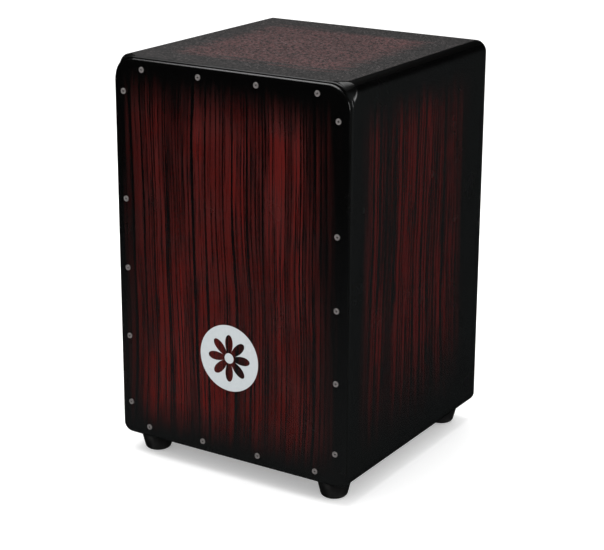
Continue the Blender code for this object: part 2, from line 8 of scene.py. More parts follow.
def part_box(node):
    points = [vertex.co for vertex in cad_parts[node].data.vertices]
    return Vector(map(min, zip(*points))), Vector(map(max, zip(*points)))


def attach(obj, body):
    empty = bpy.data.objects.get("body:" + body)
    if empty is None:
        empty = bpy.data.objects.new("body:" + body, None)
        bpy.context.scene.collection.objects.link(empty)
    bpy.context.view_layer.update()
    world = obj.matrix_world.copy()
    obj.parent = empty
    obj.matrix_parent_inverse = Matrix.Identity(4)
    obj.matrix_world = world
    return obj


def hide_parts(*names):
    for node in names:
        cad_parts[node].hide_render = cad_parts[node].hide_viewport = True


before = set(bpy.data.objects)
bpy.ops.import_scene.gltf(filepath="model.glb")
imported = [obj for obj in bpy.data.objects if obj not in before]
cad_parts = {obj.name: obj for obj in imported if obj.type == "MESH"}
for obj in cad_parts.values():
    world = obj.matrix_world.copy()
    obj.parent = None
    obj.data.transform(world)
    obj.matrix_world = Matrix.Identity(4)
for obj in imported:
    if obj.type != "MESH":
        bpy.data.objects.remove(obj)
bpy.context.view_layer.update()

# Cajon: the looks.  Metres, +Z up, the tapa towards -Y.  The materials come first, then the
# sub-parts; each CAD node is either replaced by a finer piece or keeps its mesh and gets a
# finished material.

# Places read from the frame
TAPA_LOW, TAPA_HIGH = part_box("tapa")
BACK_LOW, BACK_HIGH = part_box("back_panel")
SIDE_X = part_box("side_panel_right")[1].x
Z_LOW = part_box("base_panel")[0].z
Z_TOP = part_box("seat_panel")[1].z
TAPA_INSET = SIDE_X - TAPA_HIGH.x
Y_FACE = TAPA_LOW.y
Y_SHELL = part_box("seat_panel")[0].y
Y_BACK = BACK_HIGH.y
PANEL_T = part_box("side_panel_right")[1].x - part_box("side_panel_right")[0].x
RABBET_W = SIDE_X - BACK_HIGH.x
BODY_DEPTH = Y_BACK - Y_SHELL

# The body's roundings
FRONT_CORNER_R = 0.026      # top corners, at the shell's front rim
TAPA_CORNER_R = 0.0265      # the tapa's top corners
EDGE_R = 0.013              # the four long edges that run from front to back
CORNER_HOLD = 0.002         # behind the front rim: where the front corners start to tighten
CORNER_BLEND = 0.0115       # behind the front rim: where they have run out into the long edges
SHELL_ROUND = 0.0020        # roundover of the shell's front and back rims
TAPA_ROUND = 0.0028         # roundover of the tapa's front edge
TAPA_BACK_BREAK = 0.0003
PORT_R = 0.059
PORT_Z = 0.290
PORT_ROUND = 0.0018

# Screws: the rest of each head is in proportion to its radius and height
TAPA_HEAD_H = 0.0012
TAPA_SHANK_R = 0.0015
TAPA_SCREW_LENGTH = 0.021
FOOT_HEAD_R = 0.0045
FOOT_HEAD_H = 0.0022
FOOT_SHANK_R = 0.0017
FOOT_SCREW_LENGTH = 0.017
CLAMP_HEAD_R = 0.0030
CLAMP_HEAD_H = 0.0016
CLAMP_SHANK_R = 0.0014
CLAMP_SCREW_LENGTH = 0.0102
SCREW_TWIST = 37            # degrees from one screw's cross to the next one's

# Feet
FOOT_BOTTOM_R = 0.0155
FOOT_EDGE_R = 0.0050
FOOT_TOP_BREAK = 0.0012
FOOT_LIP = 0.0005
FOOT_HOLE_R = 0.0020
FOOT_RECESS_R = 0.0068
FOOT_SEAT_Z = 0.010

# Tension bolt, pressure pad and T-nut
BREAK = 0.0004              # the small chamfer on turned steel
BOLT_TIP_R = 0.0022
BOLT_TIP_H = 0.0006
THREAD_PITCH = 0.001
THREAD_ROOT_R = 0.00255
THREAD_R = 0.0030
PLAIN_SHANK_R = 0.0029
PLAIN_SHANK_LENGTH = 0.003
BOLT_HEAD_H = 0.006
BOLT_HEAD_ROUND = 0.0007
HEX_R = 0.0029
HEX_DEPTH = 0.0035
PAD_DOME_R = 0.012
PAD_DOME_STEPS = 8
PAD_BORE_R = 0.0036
PAD_BORE_DEPTH = 0.003
NUT_BORE_R = 0.0033
NUT_BARREL_R = 0.0040
NUT_FLANGE_T = 0.0015
NUT_FILLET = 0.0005

# Snare wires
STRANDS = 10
STRAND_PITCH = 0.0042
STRAND_W = 0.0014           # of the CAD strands
STRAND_TILT = math.radians(14)
STRAND_FAN = math.radians(0.5)
PLATE_LOW = 0.303
PLATE_TOP = 0.315
PLATE_T = 0.001
PLATE_BREAK = 0.0002
STRAND_IN_PLATE = 0.0006
STRAND_SPARE = 0.0002       # between a coil's end and its CAD strand's
COIL_R = 0.00062
COIL_WIRE_R = 0.00020
COIL_PITCH = 0.0014
COIL_POINTS = 8

# Mesh fineness
ARC_STEPS = 14
BLEND_STEPS = 22
RIM_STEPS = 5
TAPA_RIM_STEPS = 8
TURN_SEGMENTS = 48
SCREW_SEGMENTS = 40
FOOT_SEGMENTS = 72
PORT_SEGMENTS = 128

# The round print on the tapa
BADGE_Z = Z_LOW + 0.1218
BADGE_R = 0.0385
BADGE_SOFT = 0.00012        # half the width over which the ink's edge fades
PETALS = 8
PETAL_START = 0.0085
PETAL_LENGTH = 0.0190
HEART_R = 0.0060

# Colours, linear
BLACK = (0.0012, 0.0012, 0.0012)
# painted reflection of the floor: the tapa's black turns to this greyer black towards the bottom
PAINTED_FLOOR_REFLECTION_BLACK = (0.0056, 0.0062, 0.0062)
SHELL_BLACK = (0.0058, 0.0065, 0.0065)
TAPA_RED = (0.061, 0.0040, 0.0030)
TAPA_RED_BRIGHT = (0.081, 0.0046, 0.0034)
SIDE_RED = (0.050, 0.0058, 0.0055)
INK = (0.455, 0.49, 0.505)
INK_BRIGHT = (0.51, 0.54, 0.555)
SEAT_GREY = (0.0190, 0.0175, 0.0175)
SEAT_RED = (0.092, 0.028, 0.028)
SEAT_SPARK = (0.125, 0.098, 0.098)
# painted shade in the hollows between the seat's grains
SEAT_HOLLOW_SHADE = (0.0050, 0.0048, 0.0048)
RUBBER = (0.0055, 0.0055, 0.0055)
RUBBER_DUST = (0.016, 0.0155, 0.015)
PLY, PLY_DARK = (0.55, 0.40, 0.25), (0.42, 0.28, 0.16)
VENEER, VENEER_DARK = (0.58, 0.43, 0.27), (0.45, 0.30, 0.17)
WOOD, WOOD_DARK = (0.62, 0.44, 0.26), (0.46, 0.29, 0.15)
ZINC, ZINC_DULL = (0.33, 0.305, 0.30), (0.22, 0.205, 0.20)
WIRE, WIRE_DULL = (0.68, 0.68, 0.68), (0.55, 0.55, 0.56)
OXIDE, OXIDE_DULL = (0.060, 0.060, 0.062), (0.030, 0.030, 0.030)
PAPER, PAPER_BRIGHT = (0.93, 0.93, 0.93), (0.95, 0.95, 0.95)

# Dark lines of the print, coarse to fine: lane width, half a line's width, sideways drift, length
# of a stretch, noise level above which the line breaks off, and seed
GRAIN_LAYERS = ((0.0170, 0.00095, 0.0040, 0.30, 0.68, 101.0),
                (0.0064, 0.00062, 0.0016, 0.26, 0.56, 211.0),
                (0.0046, 0.00036, 0.0010, 0.14, 0.44, 307.0),
                (0.0024, 0.00022, 0.0005, 0.07, 0.40, 401.0))

# How far the print's black reaches in from each edge: (where it is still black, where it has gone)
TAPA_BURST = {"left": (0.006, 0.050), "right": (0.012, 0.066),
              "below": (0.008, 0.066), "above": (0.013, 0.080)}
SIDE_BURST = {"front": (0.022, 0.062), "back": (0.035, 0.095),
              "below": (0.020, 0.150), "above": (0.020, 0.080)}
SEAT_BURST = {"left": (0.035, 0.062), "right": (0.038, 0.066),
              "front": (0.045, 0.064), "back": (0.035, 0.062)}

# The seat's bare rims
SEAT_FRONT_RIM = 0.0068
SEAT_BACK_RIM = 0.0035
SEAT_RIM_WOBBLE = 0.0022
SEAT_RIM_SOFT = 0.0005

# Floor, lights and camera
FLOOR_HALF = 12
FLOOR_GLOW = 0.30
OVERHEAD_PLACE = (-0.32, -0.05, 1.60)
OVERHEAD_AIM = (-0.32, -0.05, 0)
OVERHEAD_SIZE = (1.35, 1.50)
OVERHEAD_POWER = 17
RIGHT_PLACE = (2.2, 0.15, 0.75)
RIGHT_AIM = (0, 0.15, 0.40)
RIGHT_SIZE = (0.7, 0.9)
RIGHT_POWER = 6
CAMERA_PLACE = (0.99820, -1.58113, 0.80871)
CAMERA_AZIMUTH = math.radians(32.2973)
CAMERA_ELEVATION = math.radians(16.7229)
CAMERA_ROLL = math.radians(0.2507)
CAMERA_LENS = 100.314
CAMERA_SHIFT_Y = -0.06457

BODY = "cajon_body"
SNARE = "snare_frame"


# Mesh helpers

def smooth_step(t):
    """0 to 1 with a soft start and end."""
    t = min(max(t, 0.0), 1.0)
    return t * t * (3 - 2 * t)


def link(name, mesh, place=None):
    """Put a mesh into the scene as an object."""
    item = bpy.data.objects.new(name, mesh)
    bpy.context.scene.collection.objects.link(item)
    if place is not None:
        item.matrix_world = place
    return item


def mesh_from(build, name, angle=35):
    """Run build(bm) and return the mesh with faces out, smooth but for edges over the angle."""
    bm = bmesh.new()
    build(bm)
    bmesh.ops.recalc_face_normals(bm, faces=bm.faces)
    mesh = bpy.data.meshes.new(name)
    bm.to_mesh(mesh)
    bm.free()
    mesh.shade_smooth()
    mesh.set_sharp_from_angle(angle=math.radians(angle))
    return mesh


def finish_piece(item, body, slot, nodes, *materials):
    """Give a piece its materials and its body, and hide the nodes it replaces; the slot is not used."""
    if materials and not item.data.materials:
        for material in materials:
            item.data.materials.append(material)
    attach(item, body)
    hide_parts(*nodes)


def along(axis, origin):
    """A placement whose local +Z points along axis."""
    turn = Vector((0, 0, 1)).rotation_difference(Vector(axis))
    return Matrix.Translation(Vector(origin)) @ turn.to_matrix().to_4x4()


def turned(profile, segments=TURN_SEGMENTS):
    """A builder that spins an (r, z) profile about Z into a closed body."""
    def build(bm):
        verts = [bm.verts.new((r, 0, z)) for r, z in profile]
        pairs = list(zip(verts, verts[1:]))
        if profile[0][0] > 0:
            pairs.append((verts[-1], verts[0]))
        edges = [bm.edges.new(pair) for pair in pairs]
        bmesh.ops.spin(bm, geom=verts + edges, cent=(0, 0, 0), axis=(0, 0, 1),
                       angle=2 * math.pi, steps=segments, use_merge=True)
        bmesh.ops.remove_doubles(bm, verts=bm.verts, dist=1e-7)

    return build


def arc(centre_r, centre_z, radius, start, end, steps):
    """Points (r, z) of an arc of a profile; angles in degrees, 0 pointing outward."""
    points = []
    for i in range(steps + 1):
        angle = math.radians(start + (end - start) * i / steps)
        points.append((centre_r + radius * math.cos(angle), centre_z + radius * math.sin(angle)))
    return points


def bridge(bm, ring, following, closed=True):
    """Quads between two rows of equally many vertices."""
    for i in range(len(ring) if closed else len(ring) - 1):
        j = (i + 1) % len(ring)
        bm.faces.new((ring[i], ring[j], following[j], following[i]))


def middle_of(node):
    """A CAD node's size and the middle of its box."""
    low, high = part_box(node)
    return high - low, (low + high) / 2


def subtract(blank, cutter, name):
    """The blank's mesh with the cutter taken out of it; both objects go."""
    blank.modifiers.new("cut", "BOOLEAN").object = cutter
    depsgraph = bpy.context.evaluated_depsgraph_get()
    mesh = bpy.data.meshes.new_from_object(blank.evaluated_get(depsgraph))
    mesh.name = name
    mesh.set_sharp_from_angle(angle=math.radians(32))
    mesh.materials.clear()
    bpy.data.objects.remove(blank, do_unlink=True)
    bpy.data.objects.remove(cutter, do_unlink=True)
    return mesh


# Materials

class Paint:
    """Builds one material's node tree round its Principled shader."""

    def __init__(self, name, roughness=0.5, metallic=0.0, specular=0.5):
        self.material = bpy.data.materials.new(name)
        self.material.use_nodes = True
        self.nodes = self.material.node_tree.nodes
        self.links = self.material.node_tree.links
        self.shader = self.nodes["Principled BSDF"]
        self.shader.inputs["Roughness"].default_value = roughness
        self.shader.inputs["Metallic"].default_value = metallic
        self.shader.inputs["Specular IOR Level"].default_value = specular
        self.place = self.nodes.new("ShaderNodeTexCoord").outputs["Object"]

    def put(self, socket, value):
        """Link an output to the socket, or set the socket to a constant."""
        if isinstance(value, bpy.types.NodeSocket):
            self.links.new(value, socket)
        elif isinstance(value, tuple) and len(value) == 3 and socket.type == "RGBA":
            socket.default_value = (*value, 1)
        else:
            socket.default_value = value

    def math(self, operation, *values, clamp=False):
        node = self.nodes.new("ShaderNodeMath")
        node.operation = operation
        node.use_clamp = clamp
        for socket, value in zip(node.inputs, values):
            self.put(socket, value)
        return node.outputs[0]

    def scaled(self, *scales, last=0.0):
        """A vector of coordinates, each times its own number, and a last constant."""
        parts = [self.math("MULTIPLY", axis, factor) for axis, factor in scales]
        return self.join(*parts, *([last] if len(parts) < 3 else []))

    def uneven(self, vector, scale=1.0, detail=2.0):
        """Noise round 0, from about -0.5 to 0.5."""
        return self.math("SUBTRACT", self.noise(vector, scale, detail), 0.5)

    def split(self, vector=None):
        node = self.nodes.new("ShaderNodeSeparateXYZ")
        self.put(node.inputs[0], vector or self.place)
        return node.outputs[0], node.outputs[1], node.outputs[2]

    def join(self, x, y, z=0.0):
        node = self.nodes.new("ShaderNodeCombineXYZ")
        for socket, value in zip(node.inputs, (x, y, z)):
            self.put(socket, value)
        return node.outputs[0]

    def stretch(self, vector, x, y, z):
        node = self.nodes.new("ShaderNodeVectorMath")
        node.operation = "MULTIPLY"
        self.put(node.inputs[0], vector)
        node.inputs[1].default_value = (x, y, z)
        return node.outputs[0]

    def noise(self, vector, scale=1.0, detail=2.0, roughness=0.5):
        node = self.nodes.new("ShaderNodeTexNoise")
        self.put(node.inputs["Vector"], vector)
        node.inputs["Scale"].default_value = scale
        node.inputs["Detail"].default_value = detail
        node.inputs["Roughness"].default_value = roughness
        return node.outputs["Fac"]

    def cells(self, vector, scale):
        node = self.nodes.new("ShaderNodeTexVoronoi")
        self.put(node.inputs["Vector"], vector)
        node.inputs["Scale"].default_value = scale
        return node.outputs["Distance"]

    def step(self, value, low, high, to_low=0.0, to_high=1.0):
        """A smooth step from to_low, up to low, to to_high, from high on."""
        node = self.nodes.new("ShaderNodeMapRange")
        node.interpolation_type = "SMOOTHSTEP"
        for name, number in (("Value", value), ("From Min", low), ("From Max", high),
                             ("To Min", to_low), ("To Max", to_high)):
            self.put(node.inputs[name], number)
        return node.outputs["Result"]

    def mix(self, factor, first, second):
        node = self.nodes.new("ShaderNodeMix")
        node.data_type = "RGBA"
        for index, value in ((0, factor), (6, first), (7, second)):
            self.put(node.inputs[index], value)
        return node.outputs[2]

    def random(self, at):
        """Three random values, 0 to 1, for each whole number that at takes."""
        node = self.nodes.new("ShaderNodeTexWhiteNoise")
        node.noise_dimensions = "1D"
        self.put(node.inputs["W"], at)
        return self.split(node.outputs["Color"])

    def bump(self, height, distance, strength=1.0, onto=None):
        node = self.nodes.new("ShaderNodeBump")
        node.inputs["Strength"].default_value = strength
        node.inputs["Distance"].default_value = distance
        self.put(node.inputs["Height"], height)
        if onto is not None:
            self.put(node.inputs["Normal"], onto)
        return node.outputs["Normal"]

    def set(self, **sockets):
        for name, value in sockets.items():
            self.put(self.shader.inputs[name.replace("_", " ")], value)
        return self.material


def grain_lines(paint, across, run, spacing, half_width, drift, length, keep, seed):
    """Dark lines along the grain, each at its own place in its lane: 0 in a line, 1 beside it.
    Every line drifts sideways on its own, and breaks up into stretches of about the length."""
    lane = paint.math("DIVIDE", across, spacing)
    index = paint.math("FLOOR", lane)
    place, weight, phase = paint.random(paint.math("ADD", index, seed))
    own = paint.math("MULTIPLY_ADD", phase, 91.0, paint.math("MULTIPLY", run, 1 / length))
    sway = paint.uneven(paint.join(own, seed))
    centre = paint.math("MULTIPLY_ADD", place, 0.45, 0.275)
    centre = paint.math("MULTIPLY_ADD", sway, drift / spacing, centre)
    gap = paint.math("ABSOLUTE", paint.math("SUBTRACT", paint.math("FRACT", lane), centre))
    gap = paint.math("MULTIPLY", gap, spacing)
    ragged_at = paint.scaled((across, 900.0), (run, 60.0), last=seed)
    ragged = paint.math("MULTIPLY_ADD", paint.noise(ragged_at, detail=2.0), 1.2, 0.4)
    swell = paint.noise(paint.join(paint.math("MULTIPLY", own, 1.7), seed + 5.0), detail=2.0)
    width = paint.math("MULTIPLY_ADD", weight, 1.0, 0.45)
    width = paint.math("MULTIPLY", width, paint.math("MULTIPLY_ADD", swell, 1.6, 0.2))
    width = paint.math("MULTIPLY", paint.math("MULTIPLY", width, ragged), half_width)
    line = paint.step(paint.math("DIVIDE", gap, width), 0.55, 1.25)
    here = paint.noise(paint.join(paint.math("MULTIPLY", own, 1.1), seed + 9.0), detail=1.0)
    absent = paint.step(here, keep - 0.06, keep + 0.06)
    return paint.math("MAXIMUM", line, absent)


def streaks(paint, across, run, seed, bold=1.0):
    """Veneer figure: 0 in the dark lines, up to 1 in the bright wood between them."""
    drift = paint.uneven(paint.scaled((across, 6.0), (run, 3.0), last=seed), detail=1.0)
    moved = paint.math("MULTIPLY_ADD", drift, 0.030, across)
    layers = [grain_lines(paint, moved, run, spacing, half_width * bold, sway, length, keep, seed + own)
              for spacing, half_width, sway, length, keep, own in GRAIN_LAYERS]

    def figure(frequency, run_frequency, offset):
        return paint.noise(paint.scaled((moved, frequency), (run, run_frequency), last=seed + offset))

    pores = paint.step(figure(1000.0, 25.0, 37.0), 0.55, 0.70, 1.0, 0.62)
    fibres = paint.step(figure(300.0, 9.0, 43.0), 0.30, 0.62, 0.62, 1.0)
    bands = paint.step(figure(34.0, 1.0, 41.0), 0.32, 0.64, 0.46, 1.0)
    return product(paint, layers + [pores, fibres, bands])


def product(paint, values):
    """All the values multiplied together, from the first to the last."""
    total = values[0]
    for value in values[1:]:
        total = paint.math("MULTIPLY", total, value)
    return total


def burst(paint, distances, limits, soften, reach=0.030):
    """1 in the middle and 0 towards the edges, whose distances and limits are given by name."""
    steps = []
    for name, (start, end) in limits.items():
        ragged = paint.math("MULTIPLY_ADD", soften, reach, distances[name])
        steps.append(paint.step(ragged, start, end))
    return product(paint, steps)


def inward(paint, axis, low, high):
    """Distances in from the low and high end of a range of a coordinate."""
    return paint.math("SUBTRACT", axis, low), paint.math("SUBTRACT", high, axis)


def lacquer_finish(paint, relief, roughness=0.22):
    """Gloss that varies a little, over the faint relief of the veneer and of the lacquer itself."""
    smear = paint.noise(paint.place, 28.0, 3.0)
    peel = paint.noise(paint.place, 900.0, 2.0)
    normal = paint.bump(relief, 0.00012, 0.35)
    normal = paint.bump(peel, 0.00006, 0.25, normal)
    rough = paint.step(smear, 0.25, 0.75, roughness - 0.05, roughness + 0.06)
    return {"Roughness": rough, "Normal": normal}


def badge_mask(paint, x, z):
    """A round print with an eight-petalled flower left open in it: 1 where the pale ink is."""
    up = paint.math("SUBTRACT", z, BADGE_Z)
    radius = paint.math("SQRT", paint.math("ADD", paint.math("MULTIPLY", x, x),
                                           paint.math("MULTIPLY", up, up)))
    angle = paint.math("ARCTAN2", up, x)

    def inside(distance, edge):
        return paint.step(distance, edge - BADGE_SOFT, edge + BADGE_SOFT, 1.0, 0.0)

    disc = inside(radius, BADGE_R)
    petal = paint.math("ABSOLUTE", paint.math("COSINE", paint.math("MULTIPLY", angle, PETALS / 2)))
    reach = paint.math("MULTIPLY_ADD", paint.math("POWER", petal, 0.8), PETAL_LENGTH, PETAL_START)
    flower = inside(paint.math("SUBTRACT", radius, reach), 0.0)
    open_part = paint.math("SUBTRACT", flower, inside(radius, HEART_R), clamp=True)
    return paint.math("MULTIPLY", disc, paint.math("SUBTRACT", 1.0, open_part))


def tapa_material():
    """The streaked red print, black towards its edges, with the round print on it; its black turns
    greyer towards the bottom, a painted reflection of the floor.
    """
    paint = Paint("tapa_sunburst_print", specular=0.8)
    x, _, z = paint.split()
    wood = paint.step(streaks(paint, x, z, 2.0), 0.18, 0.82)
    soften = paint.uneven(paint.scaled((x, 150.0), (z, 6.0), last=7.0))
    left, right = inward(paint, x, -SIDE_X, SIDE_X)
    below, above = inward(paint, z, Z_LOW, Z_TOP)
    distances = {"left": left, "right": right, "below": below, "above": above}
    shade = burst(paint, distances, TAPA_BURST, soften)
    tone = paint.step(paint.noise(paint.scaled((x, 14.0), (z, 2.0), last=5.0)), 0.3, 0.7)
    red = paint.mix(tone, TAPA_RED, TAPA_RED_BRIGHT)
    lit = paint.math("MULTIPLY", wood, shade)
    # Painted reflection of the floor: the black ground greys from the top down towards the bottom.
    black_with_painted_light = paint.mix(paint.step(above, 0.06, 0.44), BLACK, PAINTED_FLOOR_REFLECTION_BLACK)
    colour = paint.mix(lit, black_with_painted_light, red)
    mask = badge_mask(paint, x, z)
    ink = paint.mix(paint.noise(paint.place, 260.0, 3.0), INK, INK_BRIGHT)
    colour = paint.mix(mask, colour, ink)
    finish = lacquer_finish(paint, paint.math("MULTIPLY_ADD", mask, 0.8, wood))
    return paint.set(Base_Color=colour, **finish)


def side_material():
    """The same print, darker, on the flat of the side panels; their roundings stay black, and the top
    rounding is painted a deeper black as painted shade.
    """
    paint = Paint("side_sunburst_lacquer", specular=0.8)
    x, y, z = paint.split()
    wood = paint.step(streaks(paint, y, z, 14.0, bold=1.9), 0.24, 0.74)
    soften = paint.uneven(paint.scaled((y, 150.0), (z, 6.0), last=9.0))
    front, back = inward(paint, y, Y_FACE, Y_BACK)
    below, above = inward(paint, z, Z_LOW, Z_TOP)
    distances = {"front": front, "back": back, "below": below, "above": above}
    shade = burst(paint, distances, SIDE_BURST, soften)
    flat = paint.step(paint.math("ABSOLUTE", x), SIDE_X - 0.0012, SIDE_X - 0.0004)
    lit = paint.math("MULTIPLY", paint.math("MULTIPLY", wood, shade), flat)
    # Painted shade: the top 7 to 13 mm of the side, its rounding, is painted a deeper black than the
    # rest.
    rim = paint.step(above, 0.007, 0.013)
    black_with_painted_light = paint.mix(rim, BLACK, SHELL_BLACK)
    colour = paint.mix(lit, black_with_painted_light, SIDE_RED)
    finish = lacquer_finish(paint, wood)
    return paint.set(Base_Color=colour, **finish)


def black_lacquer():
    """Satin black over a faint grain."""
    paint = Paint("black_lacquer", specular=0.8)
    x, y, z = paint.split()
    grain = paint.noise(paint.scaled((x, 500.0), (z, 16.0), (y, 30.0)), detail=3.0)
    colour = paint.mix(grain, BLACK, SHELL_BLACK)
    finish = lacquer_finish(paint, grain, 0.38)
    return paint.set(Base_Color=colour, **finish)


def seat_material():
    """Streaked print under a clear anti-slip coat, whose grains scatter grey; the rims stay bare."""
    paint = Paint("seat_grit_coat", specular=0.5)
    x, y, z = paint.split()
    wood = streaks(paint, y, x, 25.0)
    soften = paint.uneven(paint.scaled((x, 10.0), (y, 110.0), last=4.0))
    left, right = inward(paint, x, -SIDE_X, SIDE_X)
    front, back = inward(paint, y, Y_FACE, Y_BACK)
    distances = {"left": left, "right": right, "front": front, "back": back}
    shade = burst(paint, distances, SEAT_BURST, soften, 0.060)
    lit = paint.math("MULTIPLY", paint.math("MULTIPLY_ADD", wood, 0.35, 0.65), shade)
    under = paint.mix(lit, SEAT_GREY, SEAT_RED)
    grains = paint.cells(paint.place, 900.0)
    clumps = paint.noise(paint.place, 330.0, 4.0, 0.7)
    cloud = paint.noise(paint.place, 16.0, 2.0)
    spark = paint.step(paint.noise(paint.place, 400.0, 3.0, 0.7), 0.54, 0.64)
    # Painted shade: where the clumps are low, in the hollows between the grains, the coat is painted
    # near black; soft clouds vary how much of this dark colour the rest gets.
    hollow_shade_mask = paint.step(clumps, 0.42, 0.54, 0.0, 1.0)
    speckled = paint.mix(paint.math("MULTIPLY", spark, 0.72), under, SEAT_SPARK)
    hollow_shaded = paint.mix(paint.math("MULTIPLY", hollow_shade_mask, paint.step(cloud, 0.3, 0.7, 0.86, 1.0)),
                         SEAT_HOLLOW_SHADE, speckled)
    wobble = paint.math("MULTIPLY", paint.uneven(paint.place, 130.0), SEAT_RIM_WOBBLE)
    corner = paint.step(front, 0.006, 0.020, FRONT_CORNER_R, EDGE_R)
    edges = []
    for distance, width in ((left, corner), (right, corner),
                            (front, SEAT_FRONT_RIM), (back, SEAT_BACK_RIM)):
        inside = paint.math("SUBTRACT", paint.math("ADD", distance, wobble), width)
        edges.append(paint.step(inside, -SEAT_RIM_SOFT, SEAT_RIM_SOFT))
    edges.append(paint.step(z, Z_TOP - 0.0010, Z_TOP - 0.0005))
    coat = product(paint, edges)
    colour = paint.mix(coat, BLACK, hollow_shaded)
    height = paint.math("ADD", paint.math("MULTIPLY", grains, -0.7), clumps)
    normal = paint.bump(paint.math("MULTIPLY", height, coat), 0.00035, 0.9)
    rough = paint.step(coat, 0.0, 1.0, 0.30, 0.78)
    return paint.set(Base_Color=colour, Roughness=rough, Normal=normal)


def bare_wood(name, run_axis, seed, light, dark):
    """Planed, unfinished wood with its grain along one axis."""
    paint = Paint(name, specular=0.35)
    scales = [95.0, 95.0, 95.0]
    scales[run_axis] = 4.0
    at = paint.stretch(paint.place, *scales)
    rings = paint.noise(at, 1.0 + 0.01 * seed, 3.0, 0.6)
    fibre_scales = [1400.0, 1400.0, 1400.0]
    fibre_scales[run_axis] = 30.0
    fibres = paint.noise(paint.stretch(paint.place, *fibre_scales), 1.0, 2.0)
    stain = paint.noise(paint.place, 9.0, 2.0)
    colour = paint.mix(paint.step(rings, 0.36, 0.64), light, dark)
    shaded = paint.mix(paint.step(fibres, 0.52, 0.72, 0.0, 0.35), colour,
                       tuple(0.45 * value for value in dark))
    shaded = paint.mix(paint.step(stain, 0.4, 0.8, 0.0, 0.25), shaded, dark)
    rough = paint.step(rings, 0.3, 0.7, 0.58, 0.74)
    normal = paint.bump(paint.math("ADD", fibres, rings), 0.00012, 0.5)
    return paint.set(Base_Color=shaded, Roughness=rough, Normal=normal)


def steel(name, bright, dull, roughness, brushed=0.3, metallic=1.0):
    """Plated or drawn steel: fine scratches, and tarnish in soft patches."""
    paint = Paint(name, metallic=metallic)
    patches = paint.noise(paint.place, 380.0, 3.0)
    scratches = paint.noise(paint.stretch(paint.place, 9000.0, 900.0, 2500.0), 1.0, 2.0)
    colour = paint.mix(paint.step(patches, 0.35, 0.75), bright, dull)
    rough = paint.math("MULTIPLY_ADD", paint.math("ADD", patches, scratches), 0.14, roughness - 0.14)
    normal = paint.bump(scratches, 0.00003, brushed)
    return paint.set(Base_Color=colour, Roughness=rough, Normal=normal)


def rubber():
    """Moulded black rubber with a fine sparkle of texture and dusty patches."""
    paint = Paint("foot_rubber", specular=0.4)
    grain = paint.noise(paint.place, 2200.0, 2.0)
    dust = paint.noise(paint.place, 90.0, 3.0)
    colour = paint.mix(paint.step(dust, 0.45, 0.80), RUBBER, RUBBER_DUST)
    rough = paint.step(dust, 0.3, 0.8, 0.48, 0.70)
    normal = paint.bump(grain, 0.00010, 0.35)
    return paint.set(Base_Color=colour, Roughness=rough, Normal=normal)


# The body's outline: a rectangle whose corners are arcs

def corner_radius(corner, behind):
    """Radius of corner 0 to 3 (top right, top left, bottom left, bottom right) at a distance
    behind the shell's front rim."""
    if corner in (0, 1):
        t = smooth_step((behind - CORNER_HOLD) / (CORNER_BLEND - CORNER_HOLD))
        return FRONT_CORNER_R + (EDGE_R - FRONT_CORNER_R) * t
    return EDGE_R


def rim_inset(depth, radius):
    """How far a rounded rim draws the outline in, at a depth below its flat end."""
    if depth >= radius:
        return 0.0
    return radius - math.sqrt(radius ** 2 - (radius - depth) ** 2)


def rim_depths(radius, steps=RIM_STEPS):
    """Depths below a rounded rim's flat end at which its outline is set."""
    return [radius * (1 - math.cos(math.pi / 2 * i / steps)) for i in range(steps + 1)]


def outline(radii, inset, margin=0.0):
    """The outline's points (x, z), anticlockwise from the top right corner's right end, in a
    rectangle that lies a margin inside the body's."""
    points = []
    for corner in range(4):
        side = 1 if corner in (0, 3) else -1
        radius = radii[corner]
        centre_x = side * (SIDE_X - margin - radius)
        centre_z = Z_TOP - margin - radius if corner in (0, 1) else Z_LOW + margin + radius
        for i in range(2 * ARC_STEPS + 1):
            angle = math.radians(90 * corner + 90 * i / (2 * ARC_STEPS))
            points.append((centre_x + (radius - inset) * math.cos(angle),
                           centre_z + (radius - inset) * math.sin(angle)))
    return points


# Shell panels

def shell_stations():
    """Distances behind the shell's front rim at which its outline is set, front to back."""
    stations = rim_depths(SHELL_ROUND)
    for i in range(1, BLEND_STEPS + 1):
        stations.append(SHELL_ROUND + (CORNER_BLEND - SHELL_ROUND) * i / BLEND_STEPS)
    stations += [BODY_DEPTH - depth for depth in reversed(rim_depths(SHELL_ROUND))]
    return stations


def shell_surface():
    """The whole outer surface: rows of points, one row for each station, and their normals."""
    rows = []
    for behind in shell_stations():
        inset = rim_inset(min(behind, BODY_DEPTH - behind), SHELL_ROUND)
        radii = [corner_radius(corner, behind) for corner in range(4)]
        rows.append([Vector((x, Y_SHELL + behind, z)) for x, z in outline(radii, inset)])
    normals = []
    count = len(rows[0])
    for s, row in enumerate(rows):
        ahead = rows[min(s + 1, len(rows) - 1)]
        behind = rows[max(s - 1, 0)]
        line = []
        for i in range(count):
            around = row[(i + 1) % count] - row[i - 1]
            inward_run = ahead[i] - behind[i]
            line.append(inward_run.cross(around).normalized())
        normals.append(line)
    return rows, normals


def panel_inner_ends(corner, thickness):
    """The two inner points (x, z) of the panel from a corner to the next, at a thickness in."""
    x = SIDE_X - thickness
    low = Z_LOW + thickness
    top = Z_TOP - thickness
    corners = ((x, top), (-x, top), (-x, low), (x, low))
    return corners[corner], corners[(corner + 1) % 4]


